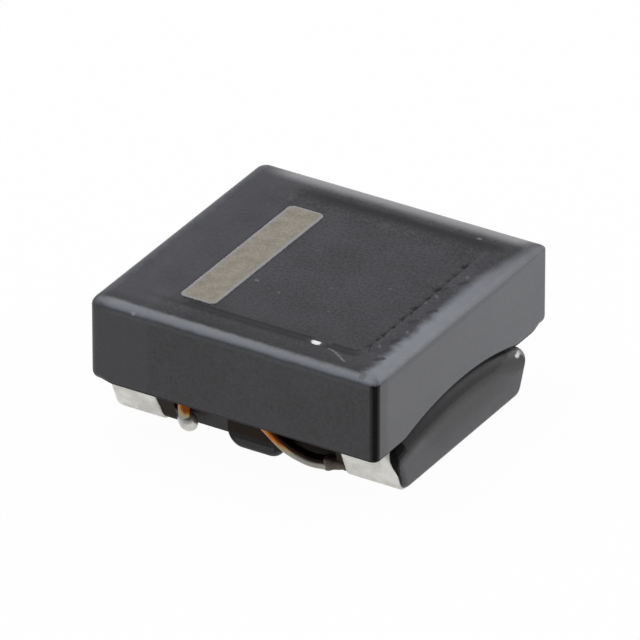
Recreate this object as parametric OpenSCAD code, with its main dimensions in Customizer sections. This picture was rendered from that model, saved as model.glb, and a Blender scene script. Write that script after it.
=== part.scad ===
// Surface-mount common mode choke: two wires wound side by side on a ferrite drum core, under a ferrite cap.
// Origin on the board at the centre of the footprint, X along the lead sides, Z up, millimetres.

/* [Cap] */
// Length of the cap along X
cap_l = 5.0; // [4.8:0.05:6]
// Width of the cap along Y
cap_w = 5.0; // [4.8:0.05:6]
// Height of the cap
cap_h = 1.39; // [1.3:0.01:1.8]
// Thickness of the cap's roof
cap_roof = 0.42; // [0.3:0.01:0.5]
// Thickness of the arched end walls, across X
end_wall = 0.5; // [0.4:0.01:0.6]
// Thickness of the straight side walls, across Y
side_wall = 0.4; // [0.3:0.01:0.45]
// Radius of the upright corners
corner_r = 0.12; // [0.06:0.01:0.3]
// Radius of the upper edges
top_r = 0.2; // [0.06:0.01:0.25]
// Radius of the lower edges
lip_r = 0.06; // [0.03:0.01:0.12]
// Radius of the corners inside the cap
cavity_r = 0.3; // [0.1:0.01:0.5]
// Width of the arch cut in the end walls
arch_w = 3.3; // [3:0.05:3.6]
// Rise of that arch
arch_rise = 0.24; // [0.15:0.01:0.35]

/* [Top panel] */
// Length of the pressed panel along X
panel_l = 3.89; // [3:0.01:4.2]
// Width of the pressed panel along Y
panel_w = 3.89; // [3.4:0.01:4.2]
// Depth of the pressed panel
panel_depth = 0.06; // [0.03:0.01:0.12]
// Radius of the panel's corners
panel_r = 0.3; // [0.1:0.01:0.6]
// Offset of the panel along X
panel_x = -0.055; // [-0.1:0.005:0.1]
// Offset of the panel along Y
panel_y = 0.045; // [-0.1:0.005:0.1]
// Width of the polarity bar
mark_w = 0.64; // [0.3:0.01:0.8]
// Length of the polarity bar
mark_l = 3.25; // [2:0.01:3.4]
// Thickness of the polarity bar
mark_t = 0.02; // [0.01:0.005:0.03]
// Distance of the bar from the panel's left edge
mark_inset = 0.565; // [0.3:0.005:1]
// Distance of the bar from the panel's front edge
mark_front = 0.195; // [0.1:0.005:0.5]
// Radius of the bar's corners
mark_r = 0.07; // [0.03:0.01:0.12]

/* [Base] */
// Height of the cap's lower edge above the board
foot_h = 0.91; // [0.8:0.01:1]
// Height of the flange that carries the winding
flange_h = 0.57; // [0.5:0.01:0.65]
// Distance from the cap's side to the base's shoulder
shoulder_step = 0.61; // [0.55:0.01:0.75]
// How far the flank leans in, from the shoulder down to the foot
flank_lean = 0.19; // [0.05:0.01:0.25]
// Radius of the shoulder
shoulder_r = 0.28; // [0.2:0.01:0.3]
// Radius of the lower edge
foot_r = 0.1; // [0.06:0.01:0.2]
// Radius of the edge over the end faces
land_r = 0.28; // [0.1:0.01:0.35]
// How far each end of the base stands out past the cap
base_over = 0.045; // [0:0.005:0.1]
// Length of each foot along X
foot_l = 1.125; // [1:0.005:1.25]
// Depth of the lead notches behind the feet
notch_depth = 0.155; // [0.08:0.005:0.25]
// Width of the tongue between two notches
tongue_w = 0.9; // [0.7:0.05:1.1]
// Radius of the tongue's lower corners
tongue_r = 0.23; // [0.1:0.01:0.3]
// Radius of the tongue's lower front edge
tongue_edge_r = 0.1; // [0.05:0.01:0.2]
// Distance from the cap's side to the tongue's face
tongue_step = 0.61; // [0.55:0.01:0.75]
// Air gap between the post and the cap's roof
post_gap = 0.03; // [0.01:0.01:0.08]
// Thickness of the bond line in the arches
bond_t = 0.03; // [0.02:0.005:0.05]
// Length of the bond line along X
bond_l = 0.2; // [0.1:0.01:0.22]

/* [Terminals] */
// Thickness of the plating
plate_t = 0.03; // [0.02:0.005:0.05]
// Bare edge between the plating and the end face
bare_edge = 0.07; // [0.03:0.01:0.12]
// Bare strip between the notch and the plating on the flank, on the left feet
strip_left = 0.26; // [0.1:0.01:0.4]
// Bare strip between the notch and the plating on the flank, on the right feet
strip_right = 0.06; // [0.04:0.01:0.4]
// Reach of the plating on the underside, across Y
pad_reach = 0.75; // [0.5:0.01:0.9]
// Height of the plating inside the notch
inner_h = 0.36; // [0.25:0.01:0.45]
// Radius of a solder joint
solder_r = 0.155; // [0.14:0.005:0.2]
// Length of wire held in a solder joint
solder_grip = 0.06; // [0.04:0.01:0.08]
// Radius of the solder run from a joint to the plating
solder_run_r = 0.11; // [0.08:0.01:0.13]

/* [Windings] */
// Diameter of the enamelled wire
wire_d = 0.22; // [0.18:0.01:0.23]
// Room left around each wire
wire_gap = 0.02; // [0.015:0.005:0.025]
// Pairs of layers in the coil
layer_pairs = 2; // [1:1:2]
// Room between the coil and the cap's walls
coil_room = 0.14; // [0.05:0.01:0.25]
// Room between a lead and its foot
lead_gap = 0.07; // [0.02:0.01:0.15]
// Height of the leads' tips over the board
tip_lift = 0.07; // [0.03:0.01:0.1]
// Angle over which the wires step to the next layer
layer_step_a = 60; // [50:5:80]
// Angle over which a start lead climbs to its row
climb_a = 80; // [60:5:100]
// Angle at which the first wire leaves the coil
leave_a = -113; // [-118:1:-111]
// Bend radius of the leads
lead_bend = 0.2; // [0.15:0.01:0.25]

/* [Hidden] */
$fn = 64;
fine = 240;
over = 0.5;
arc_steps = 6;
wire_sides = 8;
coil_step = 12;

ferrite = "#47474b";
ferrite_base = "#58585d";
tin = "#b6b5ae";
copper = "#b4682c";
bond = "#2a2826";
print_beige = "#948c7f";

// Heights
total_h = foot_h + cap_h;
ceiling_z = total_h - cap_roof;
panel_z = total_h - panel_depth;

// Plan sizes, each from the cap's outline inwards
cavity_x = cap_l / 2 - end_wall;
cavity_y = cap_w / 2 - side_wall;
shoulder_y = cap_w / 2 - shoulder_step;
foot_y = shoulder_y - flank_lean;
notch_y = foot_y - notch_depth;
tongue_y = cap_w / 2 - tongue_step;
end_x = cap_l / 2 + base_over;
foot_x = end_x - foot_l;
pad_end_x = end_x - bare_edge;
mark_x = panel_x + mark_inset + (mark_w - panel_l) / 2;
mark_y = panel_y + mark_front + (mark_l - panel_w) / 2;

// Arch: one axis along X for the cap's cut and the base's lands
arch_r = (pow(arch_w / 2, 2) + pow(arch_rise, 2)) / (2 * arch_rise);
arch_z = foot_h + arch_rise - arch_r;
land_arch_r = arch_r - bond_t;

// Base section: foot and shoulder circles with a common tangent, the shoulder inscribed in the arch
foot_c = [foot_y - foot_r, plate_t + foot_r];
shoulder_cy = shoulder_y - shoulder_r;
shoulder_c = [shoulder_cy, arch_z + sqrt(pow(land_arch_r - shoulder_r, 2) - pow(shoulder_cy, 2))];
flank_v = shoulder_c - foot_c;
flank_a = atan2(flank_v[1], flank_v[0]) - acos((foot_r - shoulder_r) / norm(flank_v));
arch_a = atan2(shoulder_c[1] - arch_z, shoulder_c[0]);
plate_top_z = shoulder_c[1] + shoulder_r * sin(45);

// Coil: layers of two wires in turn, an even number of them so that every lead leaves at the flange
spacing = wire_d + wire_gap;
coil_pitch = 2 * spacing;
layers = 2 * layer_pairs;
coil_out_r = min(cavity_x, cavity_y) - coil_room - wire_d / 2;
coil_r = coil_out_r - (layers - 1) * spacing;
post_d = 2 * (coil_r - wire_gap) - wire_d;
lead_z = flange_h + wire_gap + wire_d / 2;
row_z = lead_z + spacing;
rise_room = ceiling_z - wire_gap - wire_d / 2 - spacing - row_z;

// Leads: drop points beside the feet, and the angles where their tangents meet the coil
lead_x = foot_x - wire_d / 2 - lead_gap;
lead_y = foot_y + wire_gap + wire_d / 2;
lane_y = tongue_y + wire_gap + wire_d / 2;
drop_one = [-lead_x, -lead_y];
drop_two = [-lead_x, lead_y];
drop_out = [lead_x, lead_y];
enter_one = atan2(drop_one[1], drop_one[0]) + acos(coil_r / norm(drop_one));
enter_two = atan2(drop_two[1], drop_two[0]) + acos(coil_r / norm(drop_two)) - 360;
leave_two = atan2(drop_out[1], drop_out[0]) - acos(coil_out_r / norm(drop_out));
sweep_part = leave_a - enter_one - 360 * floor((leave_a - enter_one) / 360);
sweep_room = layers * rise_room / coil_pitch * 360 + (layers - 1) * layer_step_a;
sweep = sweep_part + 360 * floor((sweep_room - sweep_part) / 360);
layer_sweep = (sweep - (layers - 1) * layer_step_a) / layers;
coil_rise = coil_pitch * layer_sweep / 360;
early = enter_one - enter_two;
late = leave_two - leave_a;

// Ends of the leads, in the solder
wire_end_z = tip_lift + wire_d / 2;
drop_knee = [lead_x, lead_y, inner_h];
drop_end = [lead_x - wire_d / 4, lead_y, wire_end_z];
slant_knee = [lead_x - wire_d, -lead_y, wire_end_z];
slant_end = [foot_x - plate_t - wire_d / 2, -foot_y, wire_end_z];

// Points on an arc
function arc(c, r, a0, a1) = [for (i = [0:arc_steps]) let (a = a0 + (a1 - a0) * i / arc_steps)
    c + r * [cos(a), sin(a)]];

// Upright rectangle that stands on the axis, with its own radius for the lower and the upper corners
function slab(w, h, r_low, r_high) = concat(
    arc([w / 2 - r_low, r_low], r_low, -90, 0),
    arc([w / 2 - r_high, h - r_high], r_high, 0, 90),
    arc([r_high - w / 2, h - r_high], r_high, 90, 180),
    arc([r_low - w / 2, r_low], r_low, 180, 270));

// Rectangle centred on the origin, with round corners
function plate(w, h, r) = [for (p = slab(w, h, r, r)) p - [0, h / 2]];

function mirrored(points) = [for (i = [len(points) - 1:-1:0]) [-points[i][0], points[i][1]]];

// Section of the base across X, grown outwards by the plating where that is wanted
function base_half(grow) = concat(
    arc(foot_c, foot_r + grow, -90, flank_a),
    arc(shoulder_c, shoulder_r + grow, flank_a, arch_a),
    [[(shoulder_c + shoulder_r * [cos(arch_a), sin(arch_a)])[0], total_h]]);
function base_section(grow) = concat(base_half(grow), mirrored(base_half(grow)));

function unit(v) = v / norm(v);
function mix(a, b, t) = a + (b - a) * t;
function polar(r, a, z) = [r * cos(a), r * sin(a), z];

// Point of the coil at a winding angle: layers that climb and sink in turn, with a step outwards between them
function coil_layer(t) = min(floor(t / (layer_sweep + layer_step_a)), layers - 1);
function coil_along(t) = t - coil_layer(t) * (layer_sweep + layer_step_a);
function coil_out(t) = coil_layer(t) + max(0, coil_along(t) - layer_sweep) / layer_step_a;
function coil_up(t) = let (u = min(1, coil_along(t) / layer_sweep)) coil_layer(t) % 2 == 0 ? u : 1 - u;
function coil_z(t) = row_z + coil_rise * coil_up(t);
function coil_point(t, z) = polar(coil_r + spacing * coil_out(t), enter_one + t, z);

function steps(a0, a1) = let (n = ceil((a1 - a0) / coil_step)) [for (i = [0:n]) mix(a0, a1, i / n)];
function one_z(t) = t < climb_a ? mix(lead_z, coil_z(climb_a), t / climb_a) : coil_z(t);
function two_z(t) = t < 0 ? mix(row_z + spacing, lead_z, -t / early)
    : t > sweep ? row_z + spacing - coil_pitch * (t - sweep) / 360 : coil_z(t) + spacing;
coil_one = [for (t = steps(0, sweep)) coil_point(t, one_z(t))];
coil_two = concat(
    [for (t = steps(-early, 0)) if (t < 0) polar(coil_r, enter_one + t, two_z(t))],
    [for (t = steps(0, sweep)) coil_point(t, two_z(t))],
    [for (t = steps(sweep, sweep + late)) if (t > sweep) polar(coil_out_r, enter_one + t, two_z(t))]);

// Straight runs through corner points, each corner rounded by a parabola
function bend(a, b, c) = let (k = min(lead_bend, 0.45 * norm(a - b), 0.45 * norm(c - b)),
    p = b + k * unit(a - b), q = b + k * unit(c - b))
    [for (t = [0:0.25:1]) mix(mix(p, b, t), mix(b, q, t), t)];
function run(points) = concat([points[0]],
    [for (i = [1:len(points) - 2]) each bend(points[i - 1], points[i], points[i + 1])],
    [points[len(points) - 1]]);
function reversed(points) = [for (i = [len(points) - 1:-1:0]) points[i]];
function without_last(points) = [for (i = [0:len(points) - 2]) points[i]];
function without_first(points) = [for (i = [1:len(points) - 1]) points[i]];
function turned(p, sx, sy) = [sx * p[0], sy * p[1], p[2]];

// Lead that drops straight down beside a foot, from its solder joint up to the coil
function drop_lead(sx, sy, z, to) = run([turned(drop_end, sx, sy), turned(drop_knee, sx, sy),
    [sx * lead_x, sy * lead_y, z], to]);

// Lead that leaves the coil along its tangent, slants down across the tongue and turns in to the foot
leave_p = coil_one[len(coil_one) - 1];
leave_dir = [-sin(leave_a), cos(leave_a), 0];
lane_reach = (lane_y + leave_p[1]) / -leave_dir[1];
lane_p = leave_p + lane_reach * leave_dir;
slant_top = [lane_p[0], -lane_y, lead_z];
turn_x = tongue_w / 2 + wire_d;
turn_z = mix(lead_z, wire_end_z, (turn_x - slant_top[0]) / (slant_knee[0] - slant_top[0]));
slant_lead = run([leave_p, slant_top, [turn_x, -lane_y, turn_z], slant_knee, slant_end]);

path_one = concat(without_last(drop_lead(-1, -1, lead_z, coil_one[0])), coil_one, without_first(slant_lead));
path_two = concat(without_last(drop_lead(-1, 1, lead_z, coil_two[0])), coil_two,
    without_first(reversed(drop_lead(1, 1, coil_two[len(coil_two) - 1][2], coil_two[len(coil_two) - 1]))));

// Round tube along a path, its rings carried along without twist
function tangent(path, i) = unit(path[min(i + 1, len(path) - 1)] - path[max(i - 1, 0)]);
function carried(n, t) = unit(n - (n * t) * t);
function tube_rings(path, r) = let (start = carried([0, 1, 0], tangent(path, 0)))
    [for (i = 0, n = start; i < len(path); i = i + 1, n = i < len(path) ? carried(n, tangent(path, i)) : n)
        let (t = tangent(path, i), b = cross(t, n))
            for (k = [0:wire_sides - 1]) let (a = 360 * k / wire_sides)
                path[i] + r * (cos(a) * n + sin(a) * b)];
function tube_faces(rings) = concat(
    [[for (k = [0:wire_sides - 1]) k]],
    [for (i = [0:rings - 2], k = [0:wire_sides - 1]) let (a = i * wire_sides, m = (k + 1) % wire_sides)
        each [[a + k, a + wire_sides + k, a + wire_sides + m], [a + k, a + wire_sides + m, a + m]]],
    [[for (k = [wire_sides - 1:-1:0]) (rings - 1) * wire_sides + k]]);

module tube(path) {
    polyhedron(points = tube_rings(path, wire_d / 2), faces = tube_faces(len(path)), convexity = 12);
}

// Extrusions of a section that is drawn across X or across Y
module along_x(l) {
    rotate([90, 0, 90]) linear_extrude(l, center = true) children();
}
module along_y(l) {
    rotate([90, 0, 0]) linear_extrude(l, center = true) children();
}
module x_cylinder(r, l) {
    translate([0, 0, arch_z]) rotate([0, 90, 0]) cylinder(r = r, h = l, center = true, $fn = fine);
}

// Copies of a piece drawn in the corner where X and Y are positive
module at_corner(sx, sy) {
    mirror([sx < 0 ? 1 : 0, 0, 0]) mirror([0, sy < 0 ? 1 : 0, 0]) children();
}

module cap_block() {
    translate([0, 0, foot_h]) intersection() {
        linear_extrude(cap_h) polygon(plate(cap_l, cap_w, corner_r));
        along_y(cap_w + over) polygon(slab(cap_l, cap_h, lip_r, top_r));
        along_x(cap_l + over) polygon(slab(cap_w, cap_h, lip_r, top_r));
    }
}

module cap_core() {
    color(ferrite) difference() {
        cap_block();
        translate([0, 0, foot_h - over])
            linear_extrude(ceiling_z - foot_h + over) polygon(plate(2 * cavity_x, 2 * cavity_y, cavity_r));
        x_cylinder(arch_r, cap_l + over);
        translate([panel_x, panel_y, panel_z])
            linear_extrude(panel_depth + over) polygon(plate(panel_l, panel_w, panel_r));
    }
}

// Barrel about the arch axis, its rim rounded over the end faces
module land_barrel() {
    translate([0, 0, arch_z]) rotate([0, 90, 0]) rotate_extrude($fn = fine)
        polygon(concat([[0, -end_x]],
            arc([land_arch_r - land_r, land_r - end_x], land_r, -90, 0),
            arc([land_arch_r - land_r, end_x - land_r], land_r, 0, 90),
            [[0, end_x]]));
}

module tongues() {
    translate([0, 0, plate_t]) intersection() {
        along_y(2 * tongue_y) polygon(slab(tongue_w, flange_h - plate_t, tongue_r, plate_t / 2));
        along_x(tongue_w + over) polygon(slab(2 * tongue_y, flange_h - plate_t, tongue_edge_r, plate_t / 2));
    }
}

module base_core() {
    color(ferrite_base) union() {
        difference() {
            intersection() {
                along_x(cap_l + over) polygon(base_section(0));
                land_barrel();
            }
            translate([-cavity_x, -cap_w / 2, flange_h]) cube([2 * cavity_x, cap_w, cap_h]);
            for (sy = [-1, 1])
                translate([-foot_x, sy * (notch_y + over) - over, -over]) cube([2 * foot_x, 2 * over, cap_h]);
        }
        tongues();
        translate([0, 0, flange_h / 2])
            cylinder(d = post_d, h = ceiling_z - post_gap - flange_h / 2, $fn = fine);
    }
}

module bond_line(sx) {
    color(bond) intersection() {
        difference() {
            x_cylinder(arch_r, 2 * cap_l);
            x_cylinder(land_arch_r, 3 * cap_l);
        }
        at_corner(sx, 1)
            translate([end_x - land_r - bond_l, -foot_y, foot_h])
                cube([bond_l, 2 * foot_y, 2 * arch_rise]);
    }
}

// Plated skin on the underside, the flank and the notch side of a foot
module electrode(sx, sy) {
    strip = sx < 0 ? strip_left : strip_right;
    color(tin) at_corner(sx, sy) {
        intersection() {
            rotate([90, 0, 90]) linear_extrude(pad_end_x) difference() {
                polygon(base_section(plate_t));
                polygon(base_section(0));
            }
            union() {
                translate([foot_x + strip, foot_y - pad_reach, -over])
                    cube([cap_l, cap_w, plate_top_z + over]);
                translate([foot_x, foot_y - pad_reach, -over])
                    cube([cap_l, pad_reach - foot_r, 2 * over]);
            }
        }
        intersection() {
            rotate([90, 0, 90]) linear_extrude(cap_l) polygon(base_section(plate_t));
            union() {
                translate([foot_x - plate_t, notch_y, 0]) cube([plate_t, cap_w, inner_h]);
                translate([foot_x - plate_t, notch_y, 0]) cube([plate_t + strip, cap_w, plate_t]);
            }
        }
    }
}

// Solder drop round the tip of a lead, run out to the plating inside the notch
module solder_joint(sx, sy, tip, knee) {
    dir = unit(knee - tip);
    drop = tip + solder_grip * dir;
    drop_c = [drop[0], drop[1], max(drop[2], solder_r)];
    seat = [foot_x, sy * foot_y, drop_c[2]];
    color(tin) mirror([sx < 0 ? 1 : 0, 0, 0]) difference() {
        union() {
            translate(drop_c) sphere(r = solder_r);
            rod(drop_c, seat, solder_run_r);
        }
        translate([foot_x - plate_t, -cap_w, -over]) cube([over, 2 * cap_w, 2 * over]);
        rod(tip - wire_gap * dir, drop + 2 * solder_r * dir, wire_d / 2 + wire_gap / 4);
    }
}

// Cylinder between two points
module rod(a, b, r) {
    v = b - a;
    translate(a) rotate([0, acos(v[2] / norm(v)), atan2(v[1], v[0])]) cylinder(r = r, h = norm(v));
}

module polarity_mark() {
    color(print_beige)
        translate([mark_x, mark_y, panel_z]) linear_extrude(mark_t) polygon(plate(mark_w, mark_l, mark_r));
}

module winding_one() {
    color(copper) tube(path_one);
}
module winding_two() {
    color(copper) tube(path_two);
}

cap_core();
base_core();
bond_line(-1);  // cap_adhesive_left
bond_line(1);  // cap_adhesive_right
electrode(-1, -1);  // electrode_front_left
electrode(1, -1);  // electrode_front_right
electrode(-1, 1);  // electrode_back_left
electrode(1, 1);  // electrode_back_right
winding_one();
winding_two();
solder_joint(-1, -1, turned(drop_end, 1, -1), turned(drop_knee, 1, -1));  // solder_joint_front_left
solder_joint(1, -1, slant_end, slant_knee);  // solder_joint_front_right
solder_joint(-1, 1, drop_end, drop_knee);  // solder_joint_back_left
solder_joint(1, 1, drop_end, drop_knee);  // solder_joint_back_right
polarity_mark();
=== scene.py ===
import bmesh
import bpy
import numpy as np
from mathutils import Matrix, Vector


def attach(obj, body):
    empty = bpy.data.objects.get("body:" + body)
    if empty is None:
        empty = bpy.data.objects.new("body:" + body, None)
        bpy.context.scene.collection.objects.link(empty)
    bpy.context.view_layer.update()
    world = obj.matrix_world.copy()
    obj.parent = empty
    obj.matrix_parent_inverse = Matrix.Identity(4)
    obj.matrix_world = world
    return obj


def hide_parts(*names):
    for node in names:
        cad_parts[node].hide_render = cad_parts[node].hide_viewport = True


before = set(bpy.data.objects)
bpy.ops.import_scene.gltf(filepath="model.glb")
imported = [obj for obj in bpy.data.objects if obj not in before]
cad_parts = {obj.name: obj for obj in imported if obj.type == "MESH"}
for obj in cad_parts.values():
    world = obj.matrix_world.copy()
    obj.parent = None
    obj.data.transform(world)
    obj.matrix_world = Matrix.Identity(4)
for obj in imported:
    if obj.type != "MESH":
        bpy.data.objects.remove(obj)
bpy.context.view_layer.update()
mm = 0.001
join = np.concatenate
weldGap = 3e-8  # metres within which points join
print("frame loaded")


# Quads between neighbouring rows of a grid; the columns close to a ring where that is wanted
def quadGrid(rows, cols, ring=True):
    r, c = np.meshgrid(np.arange(rows - 1), np.arange(cols if ring else cols - 1), indexing="ij")
    n = (c + 1) % cols
    return np.stack([r * cols + c, r * cols + n, (r + 1) * cols + n, (r + 1) * cols + c], -1).reshape(-1, 4)


# Loft of rings, closed at both ends by a fan to the middle of the end ring
def closedLoft(rings):
    rows, cols = rings.shape[:2]
    points = join([rings.reshape(-1, 3), rings[:1].mean(1), rings[-1:].mean(1)])
    here, ahead = np.arange(cols), np.roll(np.arange(cols), -1)
    lastRow = (rows - 1) * cols
    first = np.stack([ahead, here, np.full(cols, rows * cols)], -1)
    last = np.stack([here + lastRow, ahead + lastRow, np.full(cols, rows * cols + 1)], -1)
    return points, quadGrid(rows, cols), join([first, last])


# Thin skin: an outer and an inner sheet over one grid, which meet all round their border
def closedSkin(outer, inner):
    rows, cols = outer.shape[:2]
    points = join([outer.reshape(-1, 3), inner.reshape(-1, 3)])
    quads = quadGrid(rows, cols, False)
    return points, join([quads, quads[:, ::-1] + rows * cols]), np.zeros((0, 3), int)


# One mesh from closed shells in millimetres: near points join, faces turn outwards, sharp angles stay sharp
def addPiece(name, shells, looks, crease, zones=None):
    points, faces, start = [], [], 0
    for shellPoints, quads, triangles in shells:
        points.append(shellPoints)
        faces += (quads + start).tolist() + (triangles + start).tolist()
        start += len(shellPoints)
    mesh = bpy.data.meshes.new(name)
    mesh.from_pydata((join(points) * mm).tolist(), [], faces)
    work = bmesh.new()
    work.from_mesh(mesh)
    bmesh.ops.remove_doubles(work, verts=work.verts, dist=weldGap)
    bmesh.ops.dissolve_degenerate(work, edges=work.edges, dist=weldGap)
    bmesh.ops.recalc_face_normals(work, faces=work.faces)
    work.to_mesh(mesh)
    work.free()
    mesh.shade_smooth()
    mesh.set_sharp_from_angle(angle=np.radians(crease))
    for look in looks:
        mesh.materials.append(look)
    if zones:
        place = np.zeros(len(mesh.vertices) * 3)
        mesh.vertices.foreach_get("co", place)
        for label, values in zones(place.reshape(-1, 3) / mm).items():
            layer = mesh.attributes.new(label, "FLOAT", "POINT")
            layer.data.foreach_set("value", np.ascontiguousarray(values, np.float32))
    piece = bpy.data.objects.new(name, mesh)
    bpy.context.scene.collection.objects.link(piece)
    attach(piece, "root")
    print(name, len(mesh.vertices), "points")
    return piece


# Faces whose middle passes the test take another of the piece's looks
def setLook(piece, look, test):
    mesh = piece.data
    middle = np.zeros(len(mesh.polygons) * 3)
    mesh.polygons.foreach_get("center", middle)
    chosen = np.zeros(len(mesh.polygons), np.int32)
    mesh.polygons.foreach_get("material_index", chosen)
    chosen[test(*(middle.reshape(-1, 3) / mm).T)] = mesh.materials.find(look.name)
    mesh.polygons.foreach_set("material_index", chosen)


# Eased step from 0 to 1: three squares less two cubes
def smooth(t):
    t = np.clip(t, 0, 1)
    return t * t * (3 - 2 * t)


def arcPoints(centre, r, start, end, count):
    a = np.radians(np.linspace(start, end, count))
    return np.stack([centre[0] + r * np.cos(a), centre[1] + r * np.sin(a)], -1)


# Uneven line: twice the mean of nine sines of mixed length along a way
def uneven(t, seed, size):
    rng = np.random.default_rng(seed)
    lengths, shifts = rng.uniform(3, 40, 9), rng.uniform(0, 6.28, 9)
    return size * np.sin(np.multiply.outer(t, lengths) + shifts).mean(-1) * 2


# Shader helpers: a group with a place and its own sockets, and nodes that take numbers or links alike
def shaderGroup(name, inputs, outputs):
    group = bpy.data.node_groups.new(name, "ShaderNodeTree")
    for label, value in {"Vector": (0, 0, 0), **inputs}.items():
        kind = "NodeSocketVector" if isinstance(value, tuple) else "NodeSocketFloat"
        group.interface.new_socket(label, in_out="INPUT", socket_type=kind).default_value = value
    for label in outputs:
        group.interface.new_socket(label, in_out="OUTPUT", socket_type="NodeSocketFloat")
    return group, group.nodes.new("NodeGroupInput").outputs, group.nodes.new("NodeGroupOutput").inputs


def addNode(tree, kind, **settings):
    node = tree.nodes.new(kind)
    for label, value in settings.items():
        setattr(node, label, value)
    return node


def feed(tree, socket, value):
    if isinstance(value, bpy.types.NodeSocket):
        tree.links.new(value, socket)
    else:
        socket.default_value = value


def feedAll(tree, node, values):
    for label, value in values.items():
        feed(tree, node.inputs[label], value)


def addNoise(tree, vector, scale, detail):
    noise = addNode(tree, "ShaderNodeTexNoise")
    feedAll(tree, noise, {"Vector": vector, "Scale": scale, "Detail": detail, "Roughness": 0.6})
    return noise.outputs["Fac"]


def addMath(tree, operation, a, b, clamp=False):
    node = addNode(tree, "ShaderNodeMath", operation=operation, use_clamp=clamp)
    feed(tree, node.inputs[0], a)
    feed(tree, node.inputs[1], b)
    return node.outputs[0]


def times(tree, product, *factors):
    for factor in factors:
        product = addMath(tree, "MULTIPLY", product, factor)
    return product


def addVector(tree, operation, a, b):
    node = addNode(tree, "ShaderNodeVectorMath", operation=operation)
    feed(tree, node.inputs[0], a)
    feed(tree, node.inputs[1], b)
    return node.outputs["Value" if operation in ("DISTANCE", "DOT_PRODUCT") else "Vector"]


def addRange(tree, value, low, high, toLow=0.0, toHigh=1.0):
    node = addNode(tree, "ShaderNodeMapRange", interpolation_type="SMOOTHSTEP")
    feedAll(tree, node, {"Value": value, "From Min": low, "From Max": high})
    feedAll(tree, node, {"To Min": toLow, "To Max": toHigh})
    return node.outputs["Result"]


def addMix(tree, factor, a, b):
    node = addNode(tree, "ShaderNodeMix", data_type="RGBA")
    feed(tree, node.inputs["Factor"], factor)
    for socket, value in zip([s for s in node.inputs if s.type == "RGBA"], (a, b)):
        feed(tree, socket, value + (1.0,) if isinstance(value, tuple) else value)
    return [s for s in node.outputs if s.type == "RGBA"][0]


# Pressed grain: broad clouds and fine grit of a fired or printed surface
noiseSpan = (0.3, 0.7)  # noise seldom leaves it
grainSizes = {"Broad": 1500.0, "Fine": 26000.0}
grain, grainIn, grainOut = shaderGroup("pressedGrain", grainSizes, ["Cloud", "Grit"])
for label, size, detail in (("Cloud", "Broad", 3.0), ("Grit", "Fine", 4.0)):
    noise = addNoise(grain, grainIn["Vector"], grainIn[size], detail)
    feed(grain, grainOut[label], addRange(grain, noise, *noiseSpan))

# Stray specks: the middles of a few random cells
speckSizes = {"Scale": 6000.0, "Size": 0.2, "Share": 0.1}
specks, specksIn, specksOut = shaderGroup("straySpecks", speckSizes, ["Mask"])
cells = addNode(specks, "ShaderNodeTexVoronoi")
feedAll(specks, cells, {label: specksIn[label] for label in ("Vector", "Scale")})
split = addNode(specks, "ShaderNodeSeparateColor")
feed(specks, split.inputs[0], cells.outputs["Color"])
chosen = addMath(specks, "LESS_THAN", split.outputs[0], specksIn["Share"])
near = addMath(specks, "SUBTRACT", specksIn["Size"], cells.outputs["Distance"])
clearEdge = addMath(specks, "MULTIPLY", near, 12.0, True)
feed(specks, specksOut["Mask"], times(specks, chosen, clearEdge))

# Scratch or spot: nearness to the line between two places, its border broken by noise
scratchSizes = {"From": (0, 0, 0), "To": (0, 0, 0), "Radius": 0.0001}
scratch, scratchIn, scratchOut = shaderGroup("scratch", scratchSizes, ["Mask"])
way = addVector(scratch, "SUBTRACT", scratchIn["To"], scratchIn["From"])
rest = addVector(scratch, "SUBTRACT", scratchIn["Vector"], scratchIn["From"])
squared = addMath(scratch, "MAXIMUM", addVector(scratch, "DOT_PRODUCT", way, way), 1e-12)
share = addMath(scratch, "DIVIDE", addVector(scratch, "DOT_PRODUCT", rest, way), squared, True)
nearest = addNode(scratch, "ShaderNodeVectorMath", operation="SCALE")
feed(scratch, nearest.inputs[0], way)
feed(scratch, nearest.inputs["Scale"], share)
fromLine = addVector(scratch, "DISTANCE", rest, nearest.outputs[0])
gap = addMath(scratch, "DIVIDE", fromLine, scratchIn["Radius"])
broken = addRange(scratch, addNoise(scratch, scratchIn["Vector"], 30000.0, 2.0), *noiseSpan, -0.22, 0.22)
feed(scratch, scratchOut["Mask"], addRange(scratch, addMath(scratch, "ADD", gap, broken), 1.0, 0.5))

# Frayed ramp: grows from nothing to full past a reach along one direction, its start frayed by noise; the cap
# and base shape their painted highlights and painted shade with it
frayRampSizes = {"Along": 0.0, "Reach": 0.002, "Soft": 0.0001, "Fray": 0.00003}
frayRamp, frayRampIn, frayRampOut = shaderGroup("frayedRamp", frayRampSizes, ["Mask"])
fray = addRange(frayRamp, addNoise(frayRamp, frayRampIn["Vector"], 4200.0, 4.0), *noiseSpan, -1.0, 1.0)
past = addMath(frayRamp, "SUBTRACT", frayRampIn["Along"], frayRampIn["Reach"])
past = addMath(frayRamp, "ADD", past, times(frayRamp, fray, frayRampIn["Fray"]))
feed(frayRamp, frayRampOut["Mask"], addRange(frayRamp, addMath(frayRamp, "DIVIDE", past, frayRampIn["Soft"]), 0.0, 1.0))


def useGroup(tree, group, vector, **values):
    node = addNode(tree, "ShaderNodeGroup", node_tree=group)
    feedAll(tree, node, {"Vector": vector, **values})
    return node.outputs


def newLook(name):
    look = bpy.data.materials.new(name)
    look.use_nodes = True
    tree = look.node_tree
    return look, tree, tree.nodes["Principled BSDF"], addNode(tree, "ShaderNodeTexCoord").outputs["Object"]


def readZone(tree, label):
    return addNode(tree, "ShaderNodeAttribute", attribute_name=label).outputs["Fac"]


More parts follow.
